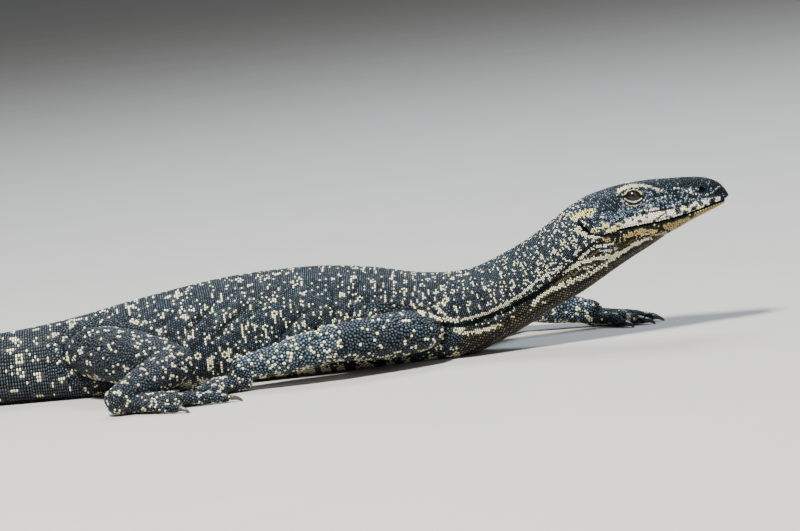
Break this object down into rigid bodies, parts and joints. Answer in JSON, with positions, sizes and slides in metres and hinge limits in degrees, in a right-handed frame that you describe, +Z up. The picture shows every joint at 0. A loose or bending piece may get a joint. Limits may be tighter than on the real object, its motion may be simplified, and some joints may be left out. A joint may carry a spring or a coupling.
{
  "type": "lace monitor lizard",
  "caption": "Life-size still model of a lace monitor lizard resting on its belly, head and neck raised, one foreleg laid back along the flank, tail in a long curve.",
  "frame": {"origin": "point on the belly's flat at floor level, under the middle of the trunk", "axes": "+X towards the snout, +Y to the animal's left, +Z up"},
  "size_m": [1.3653, 0.3363, 0.1246],
  "materials": {
    "skin": "blue-black scales with cream speckles, satin",
    "throat": "tan scales with dark bars, satin",
    "claw": "dark horn, smooth",
    "eye": "wet dark brown"
  },
  "bodies": {
    "root": {"tail_1": "skin", "tail_2": "skin", "tail_3": "skin", "tail_4": "skin", "torso": "skin", "neck": "skin", "head": "skin", "lower_jaw": "throat", "eye_left": "eye", "upper_arm_left": "skin", "forearm_left": "skin", "hand_left": "skin", "thigh_left": "skin", "shank_left": "skin", "foot_left": "skin", "claw_front_left_1": "claw", "claw_front_left_2": "claw", "claw_front_left_3": "claw", "claw_front_left_4": "claw", "claw_front_left_5": "claw", "claw_hind_left_1": "claw", "claw_hind_left_2": "claw", "claw_hind_left_3": "claw", "claw_hind_left_4": "claw", "claw_hind_left_5": "claw", "eye_right": "eye", "upper_arm_right": "skin", "forearm_right": "skin", "hand_right": "skin", "thigh_right": "skin", "shank_right": "skin", "foot_right": "skin", "claw_front_right_1": "claw", "claw_front_right_2": "claw", "claw_front_right_3": "claw", "claw_front_right_4": "claw", "claw_front_right_5": "claw", "claw_hind_right_1": "claw", "claw_hind_right_2": "claw", "claw_hind_right_3": "claw", "claw_hind_right_4": "claw", "claw_hind_right_5": "claw"}
  },
  "joints": []
}
